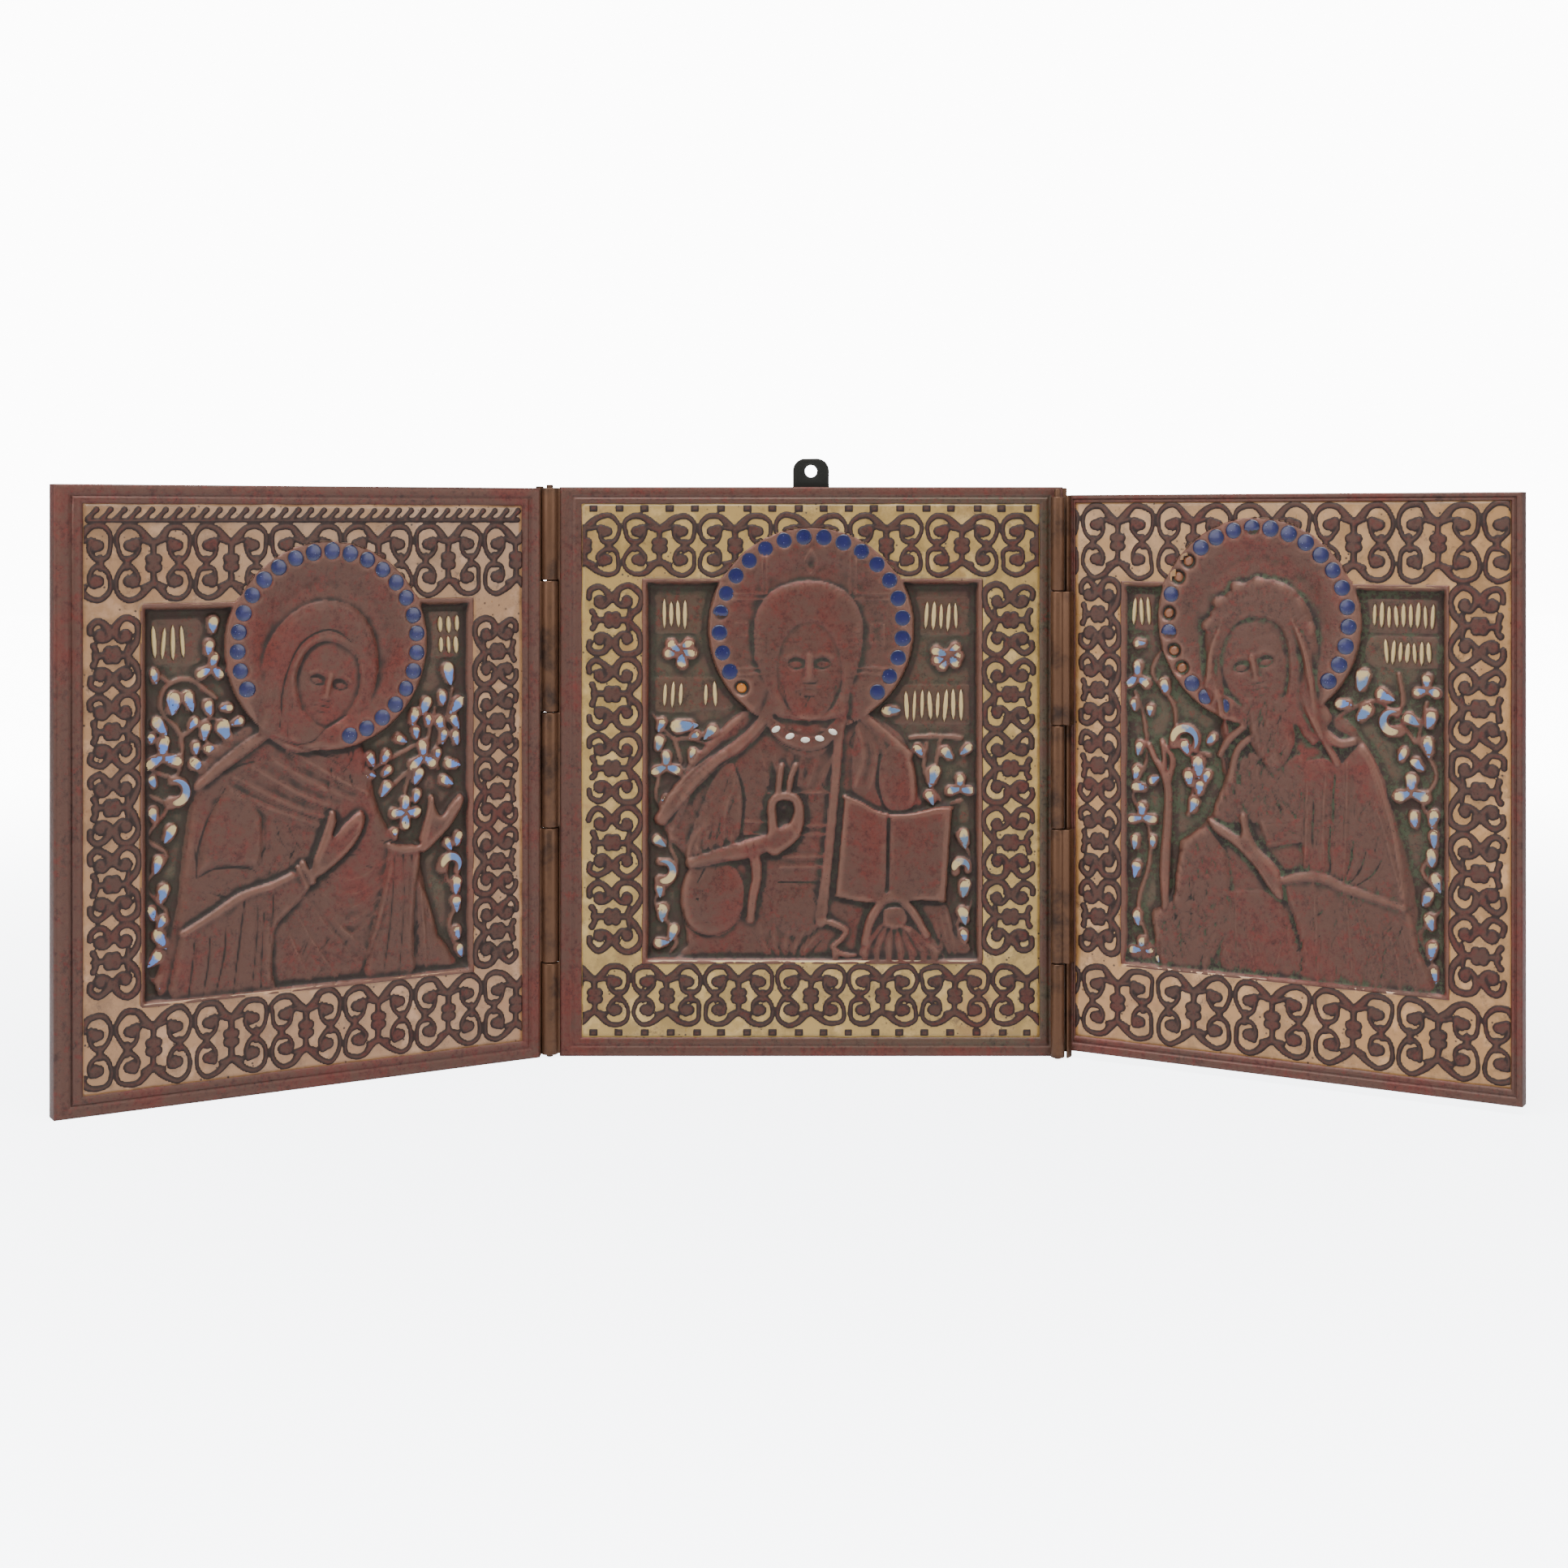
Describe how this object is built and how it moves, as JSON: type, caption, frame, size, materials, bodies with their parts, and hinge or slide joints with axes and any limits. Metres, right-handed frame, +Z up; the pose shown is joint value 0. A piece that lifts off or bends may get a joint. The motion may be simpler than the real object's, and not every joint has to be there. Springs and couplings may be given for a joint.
{
  "type": "folding triptych icon",
  "caption": "Three-leaf folding triptych icon of cast copper alloy with enamel borders, half figures in relief, two vertical hinges and a hanging tab.",
  "frame": {"origin": "middle of the centre leaf's underside, where it rests on the table", "axes": "+Z up, -Y the way the fronts face, +X to the viewer's right"},
  "size_m": [0.3623, 0.0745, 0.1629],
  "materials": {
    "bronze": "red-brown cast copper alloy with worn high spots and dark green-grey patina in the hollows",
    "pin_metal": "worn wire",
    "tab_steel": "dark weathered sheet steel",
    "enamel_cream": "glossy cream to ochre enamel with pits and dirt lines",
    "enamel_blue": "glossy cobalt blue enamel studs",
    "enamel_leaf": "glossy enamel shading from cream white to sky blue",
    "enamel_white": "glossy white enamel beads",
    "enamel_ochre": "rough orange-brown ground of lost studs"
  },
  "bodies": {
    "centre": {"centre_leaf": "bronze", "left_hinge_pin": "pin_metal", "right_hinge_pin": "pin_metal", "hanging_tab": "tab_steel"},
    "left_wing": {"left_leaf": "bronze"},
    "right_wing": {"right_leaf": "bronze"}
  },
  "joints": [
    {"name": "left_hinge", "type": "hinge", "parent": "centre", "child": "left_wing", "pos_m": [-0.0711, -0.00265, 0], "axis": [0, 0, 1], "range_deg": [-31, 149]},
    {"name": "right_hinge", "type": "hinge", "parent": "centre", "child": "right_wing", "pos_m": [0.0667, -0.0053, 0], "axis": [0, 0, -1], "range_deg": [-30.6, 149.4]}
  ]
}
